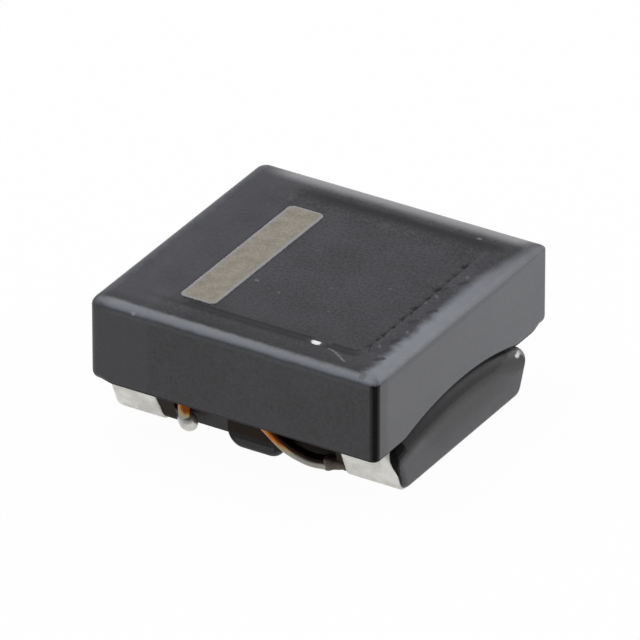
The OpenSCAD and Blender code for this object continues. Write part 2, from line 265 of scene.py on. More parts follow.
def addBump(tree, shader, height, strength, distance):
    bump = addNode(tree, "ShaderNodeBump")
    feedAll(tree, bump, {"Strength": strength, "Distance": distance, "Height": height})
    feed(tree, shader.inputs["Normal"], bump.outputs["Normal"])


def splitPlace(tree, place):
    split = addNode(tree, "ShaderNodeSeparateXYZ")
    feed(tree, split.inputs[0], place)
    return split.outputs


# Tone of a grain: a share of its clouds, the rest grit
def mixedTone(tree, skin, cloudShare):
    cloud = times(tree, skin["Cloud"], cloudShare)
    return addMath(tree, "ADD", cloud, times(tree, skin["Grit"], 1 - cloudShare))


# Frayed ramp past a reach along one direction, in millimetres
def frayedPast(tree, place, way, reach, soft, fray):
    sizes = {"Reach": reach * mm, "Soft": soft * mm, "Fray": times(tree, fray, mm)}
    return useGroup(tree, frayRamp, place, Along=way, **sizes)["Mask"]


# Spots and scratches from a table of places in millimetres, as masks with their colours
def placedMarks(tree, place, table):
    marks = []
    for start, end, radius, colour, strength in table:
        ends = {label: tuple(v * mm for v in point) for label, point in (("From", start), ("To", end))}
        mask = useGroup(tree, scratch, place, Radius=radius * mm, **ends)["Mask"]
        marks.append((times(tree, mask, strength), colour))
    return marks


# Ferrite: dark grey, half gloss, with grit, broad clouds and whatever marks the piece carries
def ferriteLook(name, dark, light, gloss, roughLow, roughHigh, marks=None):
    look, tree, shader, place = newLook(name)
    skin = useGroup(tree, grain, place, Broad=900.0, Fine=21000.0)
    tone = mixedTone(tree, skin, 0.35)
    colour = addMix(tree, tone, dark, light)
    for mask, markColour in marks(tree, place) if marks else []:
        colour = addMix(tree, mask, colour, markColour)
    rough = addRange(tree, tone, 0.0, 1.0, roughLow, roughHigh)
    feedAll(tree, shader, {"Base Color": colour, "Roughness": rough, "Specular IOR Level": gloss})
    addBump(tree, shader, skin["Grit"], 0.12, 0.000004)
    return look


# Tin: pale matte metal with faint clouds, a few dull specks and painted shade where the piece has that zone
def tinLook(name, dark, light, roughLow, roughHigh):
    look, tree, shader, place = newLook(name)
    skin = useGroup(tree, grain, place, Broad=3200.0, Fine=24000.0)
    tone = mixedTone(tree, skin, 0.7)
    dull = useGroup(tree, specks, place, Scale=7000.0, Size=0.22, Share=0.12)["Mask"]
    colour = addMix(tree, times(tree, dull, 0.4), addMix(tree, tone, dark, light), (0.40, 0.39, 0.35))
    colour = addMix(tree, readZone(tree, "tarnish"), colour, (0.10, 0.092, 0.078))
    rough = addRange(tree, skin["Cloud"], 0.0, 1.0, roughHigh, roughLow)
    feedAll(tree, shader, {"Base Color": colour, "Roughness": rough, "Metallic": 0.75})
    addBump(tree, shader, tone, 0.25, 0.000006)
    return look


print("finishes begun")

# Cap: rings of a rectangle with round corners, from the panel's middle round the outside to the ceiling
cap = {"half": 2.5, "foot": 0.885, "top": 2.3, "ceiling": 1.88, "cornerR": 0.12, "fullerR": 0.06}
cap.update({"fuller": 0.025, "lipR": 0.04, "cornerLip": 0.1, "innerR": 0.03, "underR": 0.1, "crease": 42.0})
cap.update({"cavityX": 2.0, "cavityY": 2.1, "cavityR": 0.3})
topWide = {"right": 0.36, "back": 0.40, "left": 0.16, "front": 0.20}
topDrop = {"right": 0.13, "back": 0.125, "left": 0.14, "front": 0.20}
arch = {"halfWidth": 1.65, "rise": 0.24}
arch["r"] = (arch["halfWidth"] ** 2 + arch["rise"] ** 2) / (2 * arch["rise"])
arch["axis"] = cap["foot"] + arch["rise"] - arch["r"]
panel = {"half": 1.945, "x": -0.055, "y": 0.045, "depth": 0.06, "r": 0.3, "tighter": 0.05}
panelRun = {"right": 0.03, "back": 0.50, "left": 0.50, "front": 0.06}
panelZ, topZ = cap["top"] - panel["depth"], cap["top"]

# Pits along the panel's right edge: place and width of each; long is their length over their width
pit = {"long": 1.5, "bite": 0.5, "deep": 0.45}
pits = np.array([
    (1.79, 1.27, 0.055), (1.80, 0.97, 0.035), (1.80, 0.76, 0.025), (1.80, 0.46, 0.060),
    (1.82, 0.15, 0.045), (1.81, -0.20, 0.060), (1.82, -0.36, 0.025), (1.82, -0.56, 0.050),
    (1.82, -0.86, 0.040), (1.82, -1.13, 0.045), (1.81, -1.30, 0.030), (1.81, -1.52, 0.035),
])

# Colours of the cap's marks: painted shade and painted shadow, dust, chip, scratch and specks, painted light
# on the end faces and the left end, and painted highlights along the upper edges side by side
capTint = {
    "black": (0.004, 0.004, 0.005), "pit": (0.006, 0.006, 0.006), "paintedShadow": (0.03, 0.03, 0.031),
    "dust": (0.17, 0.18, 0.16), "chip": (0.85, 0.85, 0.86), "scratch": (0.18, 0.19, 0.19),
    "speck": (0.13, 0.135, 0.145), "ground": (0.122, 0.125, 0.134), "slope": (0.060, 0.060, 0.065),
    "left": (0.135, 0.144, 0.160), "front": (0.135, 0.144, 0.160), "lowFront": (0.184, 0.196, 0.218),
    "back": (0.255, 0.253, 0.257), "right": (0.205, 0.217, 0.238),
}

# Spots of the cap: from, to, radius, colour and strength
dustSpots = [
    (-0.665, -0.70, 0.6), (-0.19, -0.85, 0.4), (1.175, 0.10, 0.35), (1.56, 0.16, 0.2), (0.225, 1.70, 0.22),
    (0.74, -0.95, 0.25), (-1.525, 1.685, 0.4), (0.42, -0.33, 0.25), (-0.35, 0.55, 0.2),
]
scratchLine = [(1.38, -2.00), (1.46, -2.02), (1.54, -2.055), (1.62, -2.105), (1.70, -2.16), (1.775, -2.21)]
paleSpecks = [(1.862, -1.03), (2.125, -0.98), (1.889, -0.07), (1.950, 0.17), (2.046, 0.91), (1.99, -1.55)]
darkSpecks = [(2.082, 0.72), (2.123, -0.25), (2.039, -0.66), (2.183, -1.88), (1.93, 0.42), (2.10, -1.30)]
capSpots = []
for x, y, fade in dustSpots:
    ends = (x, y, panelZ), (x + 0.02 * fade, y, panelZ)
    capSpots.append((*ends, 0.022 + 0.024 * fade, capTint["dust"], fade))
for a, b in zip(scratchLine, scratchLine[1:]):
    capSpots.append(((*a, topZ), (*b, topZ), 0.024, capTint["scratch"], 0.5))
# Each pit is darkened: painted shade in its dent
for x, y, wide in pits.tolist():
    ends = (x - 0.02, y - 0.03, panelZ), (x + 0.03, y + 0.03, panelZ)
    capSpots.append((*ends, 1.4 * wide, capTint["pit"], 0.8))
# Painted shade along the panel's right edge and in its back right corner
capSpots += [
    ((1.82, -1.60, panelZ), (1.82, 1.40, panelZ), 0.06, capTint["pit"], 0.45),
    ((1.80, 1.80, panelZ), (1.86, 1.86, panelZ), 0.13, capTint["pit"], 0.6),
]
for places, leanX, leanY, radius, colour, strength in (
    (paleSpecks, -0.012, 0.02, 0.032, capTint["speck"], 0.5),
    (darkSpecks, 0.03, 0.05, 0.055, capTint["pit"], 0.75),
):
    for x, y in places:
        ends = (x - leanX, y - leanY, topZ), (x + leanX, y + leanY, topZ)
        capSpots.append((*ends, radius, colour, strength))
# First two spots: painted shadow at the back right and front right corners of the upper edge
capSpots += [
    ((2.10, 2.02, 2.29), (2.24, 2.07, 2.28), 0.07, capTint["paintedShadow"], 0.6),
    ((2.19, -2.42, 2.28), (2.22, -2.42, 2.28), 0.06, capTint["paintedShadow"], 0.6),
    ((1.59, 2.02, 2.30), (1.61, 2.02, 2.30), 0.04, (0.22, 0.19, 0.17), 0.6),
    ((1.115, -1.932, topZ), (1.145, -1.938, topZ), 0.08, capTint["chip"], 1.0),
    ((-1.745, -2.465, 2.205), (-1.725, -2.465, 2.205), 0.035, (0.27, 0.27, 0.27), 0.9),
    ((2.49, -2.25, 2.14), (2.49, 1.35, 2.14), 0.022, (0.05, 0.05, 0.052), 0.35),
]


# Marks of the cap: end faces and left end painted lighter as painted light, painted shade along the panel's
# edges and on the front rim and wall, the top darker towards its front, painted highlights along the upper
# edges side by side, then spots and scratches
def capMarks(tree, place):
    x, y, z = splitPlace(tree, place)
    both = lambda *masks: times(tree, *masks)
    minus = lambda way: times(tree, way, -1.0)
    past = lambda way, reach, soft, fray=0.0: frayedPast(tree, place, way, reach, soft, fray)
    ramp = lambda way, low, high, *to: addRange(tree, way, low * mm, high * mm, *to)

    def between(way, low, lowSoft, high, highSoft):
        beyond = past(way, high, highSoft, 0.02)
        return both(past(way, low, lowSoft, 0.02), addMath(tree, "SUBTRACT", 1.0, beyond))

    # Painted light: both end faces lighter, more so towards the back, and the left end lighter
    ground = ramp(y, -2.0, 2.0, 0.76, 0.92)
    marks = [(both(past(way, 2.47, 0.02), ground), capTint["ground"]) for way in (x, minus(x))]
    marks += [(both(past(minus(x), 1.42, 0.12, 0.02), 0.5), capTint["slope"])]
    # Painted shade: dark lines along the panel's back and front edges, and the front rim and front wall
    # darker; the top is also darker towards its front
    nearFront = both(ramp(y, -0.3, -1.7, 0.0, 0.2), ramp(x, -1.3, -0.5), past(z, 2.2, 0.03))
    backLine = both(between(y, 1.70, 0.20, 1.95, 0.12), ramp(x, -1.9, -0.8), ramp(x, 2.2, 1.95))
    frontX = addMath(tree, "MAXIMUM", ramp(x, 1.05, 0.75), both(ramp(x, 1.2, 1.4), ramp(x, 1.95, 1.75)))
    frontLine = both(between(minus(y), 1.72, 0.12, 1.97, 0.08), ramp(x, -2.2, -0.5), frontX)
    frontRim = both(past(minus(y), 2.10, 0.14, 0.02), 0.35)
    marks += [(mask, capTint["black"]) for mask in (nearFront, backLine, frontLine, frontRim)]
    # Painted highlights: pale bands along the upper edges, each side with its own reach, fray, lower edge and
    # strength
    slide = ramp(y, 0.9, 2.1, 0.0, 0.13 * mm)
    slant = both(x, 0.011)
    ways = {"left": minus(x), "back": y, "right": addMath(tree, "SUBTRACT", x, slide)}
    ways["front"] = ways["lowFront"] = addMath(tree, "SUBTRACT", minus(y), slant)
    alongBack = both(ramp(x, -2.42, -1.75), ramp(x, 2.44, 2.1, 0.12, 1.0))
    rough = ramp(y, -1.2, 0.4, 0.04, 0.014)
    fading = both(ramp(y, -0.3, 1.9, 1.0, 0.66), ramp(y, 2.35, 1.7, 0.38, 1.0))
    fromLeft = ramp(x, -2.46, -2.1)
    lowerFront = both(fromLeft, ramp(z, 2.275, 2.235))
    for side, reach, soft, fray, low, lowSoft, strength in (
        ("left", 2.27, 0.10, 0.03, 2.14, 0.06, 0.30),
        ("back", 2.05, 0.26, 0.006, 2.05, 0.05, alongBack),
        ("right", 2.10, 0.22, rough, 2.16, 0.14, fading),
        ("front", 2.40, 0.05, 0.012, 2.09, 0.06, both(fromLeft, 0.22)),
        ("front", 2.325, 0.08, 0.012, 2.175, 0.06, fromLeft),
        ("lowFront", 2.325, 0.08, 0.012, 2.18, 0.06, lowerFront),
    ):
        mask = both(past(ways[side], reach, soft, fray), past(z, low, lowSoft, 0.006), strength)
        marks.append((mask, capTint[side]))
    return marks + placedMarks(tree, place, capSpots)


capTones = (0.009, 0.009, 0.0105), (0.055, 0.054, 0.060)
capFerrite = ferriteLook("capFerrite", *capTones, 0.5, 0.33, 0.45, capMarks)

# Darker copies of the ferrite, painted shade for single faces that lie in the dark: dark and light tone,
# gloss, lowest and highest roughness
softDark, halfDark, darkCorner, dullShade, archShade, lineShade, deepShade = (ferriteLook(*row) for row in (
    ("softDarkCorner", (0.014, 0.014, 0.015), (0.034, 0.033, 0.035), 0.38, 0.40, 0.5),
    ("halfDarkCorner", (0.010, 0.010, 0.010), (0.022, 0.021, 0.021), 0.20, 0.45, 0.6),
    ("darkCorner", (0.006, 0.005, 0.005), (0.012, 0.011, 0.011), 0.06, 0.55, 0.7),
    ("dullShade", (0.012, 0.012, 0.0135), (0.028, 0.028, 0.031), 0.12, 0.45, 0.6),
    ("archShade", (0.014, 0.014, 0.0145), (0.032, 0.031, 0.033), 0.26, 0.42, 0.55),
    ("lineShade", (0.003, 0.003, 0.004), (0.012, 0.012, 0.014), 0.40, 0.33, 0.45),
    ("deepShade", (0.020, 0.014, 0.010), (0.044, 0.031, 0.022), 0.10, 0.5, 0.65),
))

# One way round: four sides and four corners, as the corner leaned on and the arc's direction there
along = np.linspace(-1, 1, 97)
turn = np.linspace(0, 90, 11)[1:-1]
one, bend = np.ones(len(along)), np.ones(len(turn))
walkX = join([one, bend, -along, -bend, -one, -bend, along, bend])
walkY = join([along, bend, one, bend, -along, -bend, -one, -bend])
walkA = np.radians(join([join([start * one, start + turn]) for start in (0, 90, 180, 270)]))
wayLength = np.linspace(0, 4, len(walkA))


# Rectangle with round corners: the corner's centre plus the corner's radius in the arc's direction
def outline(halfX, halfY, r):
    halfX, halfY, r = (np.atleast_1d(v)[:, None] for v in np.broadcast_arrays(halfX, halfY, r))
    return walkX * (halfX - r) + r * np.cos(walkA), walkY * (halfY - r) + r * np.sin(walkA)


# Lower edge of the cap: flat, lifted to the arch's circle where that stands higher
def lowerEdge(y):
    return np.maximum(cap["foot"], arch["axis"] + np.sqrt(np.clip(arch["r"] ** 2 - y ** 2, 0, None)))


def flatRings(x, y, z):
    return np.stack([x, y, np.broadcast_to(np.asarray(z, float), x.shape)], -1)


# Rings drawn in by a share of each side's own width
def drawnIn(share, half, wide, r):
    meanX, meanY = (wide["right"] + wide["left"]) / 2, (wide["back"] + wide["front"]) / 2
    x, y = outline(half - share * meanX, half - share * meanY, r)
    return x + share[:, None] * (meanX - wide["right"]), y + share[:, None] * (meanY - wide["back"])


# Distance of places from each pit, counted in the pit's own width
def fromPits(x, y):
    return np.hypot(x[..., None] - pits[:, 0], (y[..., None] - pits[:, 1]) / pit["long"]) / pits[:, 2]


# Panel: floor, then an eased slope up to the rim, long on the left and back; pits bite into its right edge
rise = np.linspace(0, 1, 13)
floorScale = [0.12, 0.32, 0.5, 0.62, 0.72, 0.8, 0.86, 0.9, 0.925, 0.945, 0.96, 0.972, 0.982, 0.991]
panelScale = join([floorScale, np.ones(len(rise))])
panelRise = join([np.zeros(len(floorScale)), rise])
px, py = drawnIn(1 - panelRise, panel["half"], panelRun, panel["r"] - panel["tighter"] * (1 - panelRise))
alongSide = walkY * panel["half"] + panel["y"]
fromBite = (alongSide[:, None] - pits[:, 1]) / pits[:, 2] / pit["long"]
bites = (pit["bite"] * pits[:, 2] * np.exp(-fromBite ** 2)).sum(1) * (np.cos(walkA) > 0.9)
jagRight, jagElsewhere = uneven(wayLength * 1.6, 3, 0.010), uneven(wayLength * 1.5, 5, 0.006)
jag = np.where(walkX > 0.98, jagRight + bites, jagElsewhere)
px = (px + jag * np.cos(walkA)) * panelScale[:, None] + panel["x"]
py = (py + jag * np.sin(walkA)) * panelScale[:, None] + panel["y"]
dents = (pit["deep"] * pits[:, 2] * np.exp(-fromPits(px, py) ** 2)).sum(-1) * (panelRise == 0)[:, None]
panelRings = flatRings(px, py, (topZ - panel["depth"] * (1 - smooth(panelRise)))[:, None] - dents)

# Upper edge: a quarter ellipse from the rim's flat to the wall, of its own width and drop on each side
quarter = np.radians(np.linspace(90, 0, 17))
sideAngles = np.radians([0, 90, 180, 270])
sideDrops = [topDrop[side] for side in ("right", "back", "left", "front")]
edgeDrop = sum(drop * np.clip(np.cos(walkA - angle), 0, 1) ** 2 for drop, angle in zip(sideDrops, sideAngles))
share = 1 - np.cos(quarter)
fuller = cap["fuller"] * np.where((walkX > 0) & (walkY > 0), np.sin(2 * walkA) ** 2, 0)


# One corner stands out fuller than the others, but never past the walls
def filledOut(x, y):
    ways = x + fuller * np.cos(walkA), y + fuller * np.sin(walkA)
    return [np.clip(way, -cap["half"], cap["half"]) for way in ways]


fx, fy = filledOut(*drawnIn(share, cap["half"], topWide, cap["cornerR"] + cap["fullerR"] * share))
filletRings = flatRings(fx, fy, topZ - edgeDrop * (1 - np.sin(quarter))[:, None])
step = np.linspace(0, 1, 6)[1:-1, None, None]
rimRings = panelRings[-1:] * (1 - step) + filletRings[:1] * step

# Wall, lower lip, underside, inner lip, inner wall and ceiling; the lip is rounder at three of the corners
down = np.linspace(0, 1, 15)[1:, None]
wx, wy = filledOut(*outline(np.full(len(down), cap["half"]), cap["half"], cap["cornerR"]))
atCorner = smooth((np.minimum(np.abs(walkX), np.abs(walkY)) - 0.88) / 0.12)
lipR = cap["lipR"] + cap["cornerLip"] * atCorner * ~((walkX > 0) & (walkY < 0))
wallRings = flatRings(wx, wy, (1 - down) * (topZ - edgeDrop) + down * (lowerEdge(wy) + lipR))
lip = np.radians(np.linspace(0, 90, 7)[1:])
lipIn = lipR * (1 - np.cos(lip))[:, None]
lx, ly = wx[0] - lipIn * np.cos(walkA), wy[0] - lipIn * np.sin(walkA)
lipRings = flatRings(lx, ly, lowerEdge(ly) + lipR * (1 - np.sin(lip))[:, None])
under = np.linspace(0, 1, 5)[1:]
outer = cap["half"] - cap["lipR"]
mouthX, mouthY = cap["cavityX"] + cap["innerR"], cap["cavityY"] + cap["innerR"]
underR = cap["underR"] + (cap["cavityR"] - cap["underR"]) * under
ux, uy = outline(outer + (mouthX - outer) * under, outer + (mouthY - outer) * under, underR)
underRings = flatRings(ux, uy, lowerEdge(uy))
ix, iy = outline(mouthX - cap["innerR"] * np.sin(lip), mouthY - cap["innerR"] * np.sin(lip), cap["cavityR"])
innerLip = flatRings(ix, iy, lowerEdge(iy) + cap["innerR"] * (1 - np.cos(lip))[:, None])
up = np.linspace(0, 1, 7)[1:, None]
nx, ny = outline(np.full(len(up), cap["cavityX"]), cap["cavityY"], cap["cavityR"])
innerRings = flatRings(nx, ny, (1 - up) * (lowerEdge(ny) + cap["innerR"]) + up * cap["ceiling"])
inward = np.array([0.8, 0.5, 0.2])[:, None]
ceilingRings = flatRings(nx[:3] * inward, ny[:3] * inward, cap["ceiling"])
outside = [panelRings, rimRings, filletRings, wallRings, lipRings]
capRings = join(outside + [underRings, innerLip, innerRings, ceilingRings])
capLooks = [capFerrite, softDark, halfDark, darkCorner, dullShade, lineShade]
capShell = addPiece("capShell", [closedLoft(capRings)], capLooks, cap["crease"])
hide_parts("cap_core")


# Upright front right corner: the angle off its middle, below the upper edge
def offCorner(x, y, z):
    straight = cap["half"] - cap["cornerR"]
    onCorner = (x > straight) & (-y > straight) & (z < topZ - 0.11)
    return np.where(onCorner, np.abs(np.degrees(np.arctan2(-y - straight, x - straight)) - 45), 90)


def onLowerLip(x, y, z):
    return (np.maximum(np.abs(x), np.abs(y)) > 2.43) & (z < lowerEdge(y) + cap["lipR"])


# Panel's front edge: a line along its round outline, open where the chip sits
def onFrontLine(x, y, z):
    straight = panel["half"] - panel["r"]
    pastX, pastY = (np.clip(way - straight, 0, None) for way in (x - panel["x"], panel["y"] - y))
    onLine = np.abs(np.hypot(pastX, pastY) - panel["r"] + 0.055) < 0.105
    return onLine & (y < -1.7) & (x > -1.2) & ((x < 0.95) | (x > 1.3)) & (z > panelZ - 0.06)


def onFloor(z):
    return (z > panelZ - 0.06) & (z < panelZ + 0.05)


# Painted shade: darker copies of the ferrite on the front right upright corner, the lower lip, the panel's
# front line, a strip along its right edge and its pits
for look, angle in ((softDark, 44), (halfDark, 34), (darkCorner, 22)):
    setLook(capShell, look, lambda x, y, z: offCorner(x, y, z) < angle)
setLook(capShell, dullShade, onLowerLip)
setLook(capShell, lineShade, onFrontLine)
setLook(capShell, softDark, lambda x, y, z: (x > 1.797) & (x < 1.90) & (np.abs(y + 0.1) < 1.45) & onFloor(z))
setLook(capShell, dullShade, lambda x, y, z: (fromPits(x - 0.015, y).min(-1) < 1) & onFloor(z))

# Base: closed sections across X, lofted along X; the section changes at tongue, notches, feet and lands
base = {"end": 2.545, "bottom": 0.03, "flange": 0.57, "shoulderY": 1.89, "shoulderR": 0.28, "middleZ": 0.42}
base.update({"footX": 1.42, "footY": 1.755, "footR": 0.2, "notchY": 1.545, "notchR": 0.02, "brimR": 0.015})
base.update({"landX": 2.0, "landR": 0.28, "endR": 0.12, "bondT": 0.03, "stepIn": 0.03, "crease": 32.0})
tongue = {"halfX": 0.45, "r": 0.23, "rightHalfX": 0.51, "rightR": 0.26, "y": 1.89, "edgeR": 0.1}
post = {"r": 0.9, "top": 1.85, "sunk": 0.3}
# Spots of the base: a painted glint and painted rim light at the back corner of the right end, then a dark
# spot on the front notch wall beside the left lead
baseSpots = [
    ((2.48, 1.60, 0.712), (2.48, 1.74, 0.740), 0.048, (0.85, 0.85, 0.85), 1.0),
    ((2.48, 1.74, 0.740), (2.48, 1.79, 0.770), 0.05, (0.45, 0.44, 0.43), 0.8),
    ((2.49, 1.80, 0.74), (2.49, 1.86, 0.58), 0.06, (0.26, 0.245, 0.235), 0.8),
    ((2.49, 1.86, 0.58), (2.49, 1.78, 0.30), 0.05, (0.22, 0.21, 0.20), 0.6),
    ((-1.15, -1.545, 0.05), (-1.20, -1.545, 0.45), 0.19, (0.012, 0.008, 0.006), 0.95),
]
baseTint = {"pale": (0.085, 0.081, 0.088), "underArch": (0.008, 0.007, 0.006)}
landArch = arch["r"] - base["bondT"]


# Marks of the base, painted shade: end faces paler towards the foot and both sides, so darker high in the
# middle under the cap, and darker still under the arch; then the spots
def baseMarks(tree, place):
    x, y, z = splitPlace(tree, place)
    minus = lambda way: times(tree, way, -1.0)
    past = lambda way, reach, soft: frayedPast(tree, place, way, reach, soft, 0.02)
    onEnd = addMath(tree, "MAXIMUM", past(x, 2.48, 0.05), past(minus(x), 2.48, 0.05))
    marks = []
    for way, reach, soft, strength in (
        (minus(z), -0.6, 0.45, 0.7), (y, 0.7, 0.9, 0.4), (minus(y), 0.6, 0.8, 0.7),
    ):
        marks.append((times(tree, onEnd, past(way, reach, soft), strength), baseTint["pale"]))
    overAxis = addMath(tree, "SUBTRACT", z, arch["axis"] * mm)
    squares = addMath(tree, "ADD", times(tree, y, y), times(tree, overAxis, overAxis))
    nearer = addRange(tree, y, -0.7 * mm, -1.7 * mm, 0.0, 0.14 * mm)
    fromAxis = addMath(tree, "SUBTRACT", addMath(tree, "POWER", squares, 0.5), nearer)
    marks.append((times(tree, past(fromAxis, landArch - 0.42, 0.16), 0.85), baseTint["underArch"]))
    return marks + placedMarks(tree, place, baseSpots)


baseTones = (0.018, 0.0165, 0.018), (0.049, 0.0465, 0.050)
baseFerrite = ferriteLook("baseFerrite", *baseTones, 0.5, 0.38, 0.5, baseMarks)
footC = np.array([base["footY"] - base["footR"], base["bottom"] + base["footR"]])
shoulderIn = base["shoulderY"] - base["shoulderR"]
shoulderUp = np.sqrt((landArch - base["shoulderR"]) ** 2 - shoulderIn ** 2)
shoulderC = np.array([shoulderIn, arch["axis"] + shoulderUp])
flankV = shoulderC - footC
flankTurn = np.arccos((base["footR"] - base["shoulderR"]) / np.hypot(*flankV))
flankA = np.degrees(np.arctan2(flankV[1], flankV[0]) - flankTurn)
archA = np.degrees(np.arctan2(shoulderC[1] - arch["axis"], shoulderC[0]))
stepY = base["notchY"] - base["stepIn"]


# How far the rounding of the end edge draws a section in at a place along X
def endInset(x):
    inRound = np.clip(x - base["end"] + base["endR"], 0, None)
    return base["endR"] - np.sqrt(np.clip(base["endR"] ** 2 - inRound ** 2, 0, None))


# Half section, from the middle of the underside out, up the flank and back to the middle on top
def halfSection(lowC, lowR, highC, highR, lean, highEnd, floorLift, overTop, cutTop=None):
    mid = np.linspace(0, 1, 6)[1:-1, None]
    low = arcPoints(lowC, lowR, -90, lean, 9)
    high = arcPoints(highC, highR, lean, highEnd, 13)
    inner = np.stack([np.linspace(0, stepY, 8), np.full(8, base["bottom"] + floorLift)], -1)
    riser = np.stack([np.full(4, stepY), np.linspace(base["bottom"] + floorLift, low[0, 1], 4)], -1)
    outer = np.stack([np.linspace(stepY, low[0, 0], 4), np.full(4, low[0, 1])], -1)
    topY = np.linspace(high[-1, 0], 0, 26)
    top = np.stack([topY, overTop(topY)], -1)
    flank = low[-1] * (1 - mid) + high[0] * mid
    half = join([inner, riser[1:], outer[1:], low[1:], flank, high, top[1:]])
    if cutTop is not None:
        half[:, 1] = np.minimum(half[:, 1], cutTop(half[:, 0]))
    return half


def fullLoop(half, x):
    loop = join([half, half[-2:0:-1] * [-1, 1]])
    return join([np.full((len(loop), 1), x), loop], -1)


def flangeLevel(y):
    return np.full(len(y), base["flange"])


def boxHalf(y, z, rLow, rHigh):
    highC = (y - rHigh, base["flange"] - rHigh)
    return halfSection((y - rLow, z + rLow), rLow, highC, rHigh, 0, 90, 0, flangeLevel)


# Land section: shrinks by the rounding of the end edge, its top lies on the arch's circle
def landHalf(endIn, topIn):
    onArch = lambda y: arch["axis"] + np.sqrt((landArch - topIn) ** 2 - y ** 2)
    radii = base["footR"] - endIn, base["shoulderR"] - endIn
    return halfSection(footC, radii[0], shoulderC, radii[1], flankA, archA, endIn, onArch, onArch)


def footHalf():
    radii = base["footR"], base["shoulderR"]
    return halfSection(footC, radii[0], shoulderC, radii[1], flankA, archA, 0, flangeLevel, flangeLevel)


# Sections of one end, from the middle of the tongue out to the rounded end face
def endSections(tongueHalf, cornerR):
    roundIn = tongueHalf - cornerR
    turning = np.sin(np.radians(np.linspace(8, 80, 9)))
    tongueX = join([np.linspace(0, roundIn, 4), roundIn + cornerR * turning])
    lift = cornerR - np.sqrt(cornerR ** 2 - np.clip(tongueX - roundIn, 0, None) ** 2)
    tongueZ = base["bottom"] + lift
    ends = [(x, boxHalf(tongue["y"], z, tongue["edgeR"], base["brimR"])) for x, z in zip(tongueX, tongueZ)]
    ends.append((tongueHalf, ends[-1][1]))
    notch = boxHalf(base["notchY"], base["bottom"], base["notchR"], base["brimR"])
    ends += [(x, notch) for x in np.linspace(tongueHalf, base["footX"], 6)]
    ends += [(x, footHalf()) for x in np.linspace(base["footX"], base["landX"], 5)]
    ends += [(x, landHalf(0, 0)) for x in np.linspace(base["landX"], base["end"] - base["landR"], 3)]
    landTurn = np.radians(np.linspace(0, 90, 18))[1:]
    landXs = base["end"] - base["landR"] * (1 - np.sin(landTurn))
    topIns = base["landR"] * (1 - np.cos(landTurn))
    ends += [(x, landHalf(endInset(x), topIn)) for x, topIn in zip(landXs, topIns)]
    loops = np.stack([fullLoop(half, x) for x, half in ends])
    endMiddle = np.array([base["end"], 0, base["middleZ"]])
    endLoops = np.stack([endMiddle + (loops[-1] - endMiddle) * s for s in (0.8, 0.55, 0.3, 0.1)])
    return join([loops, endLoops])


rightLoops = endSections(tongue["rightHalfX"], tongue["rightR"])
leftLoops = endSections(tongue["halfX"], tongue["r"])[:0:-1] * [-1, 1, 1]
postR = post["r"] - np.array([0.6, 0, 0, 0, 0, 0.01, 0.03, 0.6])
postZ = np.array([post["sunk"], post["sunk"], 0.9, 1.4, *(post["top"] - np.array([0.03, 0.01, 0, 0]))])
around = np.linspace(0, 2 * np.pi, 96, endpoint=False)
postWays = np.cos(around), np.sin(around), np.ones(len(around))
postRings = np.stack([np.outer(size, way) for size, way in zip((postR, postR, postZ), postWays)], -1)
baseShells = [closedLoft(join([leftLoops, rightLoops])), closedLoft(postRings)]
baseLooks = [baseFerrite, softDark, halfDark, darkCorner, deepShade, archShade]
baseBody = addPiece("baseBody", baseShells, baseLooks, base["crease"])
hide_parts("base_core")


# Upright round edges of the end faces, on the two corners that lie in the dark
def onEndEdge(x, y, z, off):
    edgeX = np.interp(z, [0.15, 0.45, 0.62, 0.72], [2.49, 2.512, 2.520, 2.510])
    edgeY = np.interp(z, [0.5, 0.75], [1.52, 1.63])
    inside = (np.abs(x) < edgeX - off) & (np.abs(y) > edgeY + off)
    return inside & (np.abs(x) > 2.3) & (z < 0.8) & (x * y < 0)


# Band of the end faces along the arch, narrower towards both sides, cut short on the right end
def underArch(x, y, z, reach, stop):
    wide = reach * np.interp(y, [-1.7, -0.8, 0.9, 1.6], [0.45, 1.0, 1.0, 0.2])
    inBand = (np.abs(x) > 2.2) & (np.hypot(y, z - arch["axis"]) > landArch - wide)
    return inBand & ((x < 0) | (y < stop))


def onTongue(x, y):
    return (np.abs(x) < 0.515) & (np.abs(y) > 1.56)


def onFootSide(x, y, z):
    return (np.abs(x) > 1.40) & (np.abs(x) < 1.72) & (np.abs(y) > 1.52) & (z < 0.85)


def inNotch(x, y, z):
    return (np.abs(x) > 0.515) & (np.abs(x) < 1.42) & (np.abs(y) > 1.53) & (x * y < 0)


# Painted shade: darker copies of the ferrite under the arch, on the end edges in the dark, on the tongue, the
# foot sides and the notches
setLook(baseBody, softDark, lambda x, y, z: underArch(x, y, z, 0.25, 1.54))
setLook(baseBody, archShade, lambda x, y, z: underArch(x, y, z, 0.20, 1.42))
setLook(baseBody, halfDark, lambda x, y, z: onEndEdge(x, y, z, 0) & (z > 0.18))
setLook(baseBody, darkCorner, lambda x, y, z: onEndEdge(x, y, z, 0.02) & (z > 0.34))
for look, below in ((deepShade, 1.0), (halfDark, 0.30), (softDark, 0.20)):
    setLook(baseBody, look, lambda x, y, z: onTongue(x, y) & (z <= below))
setLook(baseBody, deepShade, onFootSide)
setLook(baseBody, deepShade, inNotch)

# Terminals: a thin skin along the foot's section, thickness eased to nothing at its uneven border
plate = {"t": 0.03, "padY": 0.95, "top": 45.0, "innerH": 0.36, "sunk": 0.004, "crease": 60.0}
plate.update({"ease": 0.035, "wrapEase": 0.025, "wrapLow": 0.012, "leastStrip": 0.012})
tinPlate = tinLook("tinPlate", (0.68, 0.67, 0.62), (0.85, 0.84, 0.80), 0.42, 0.6)


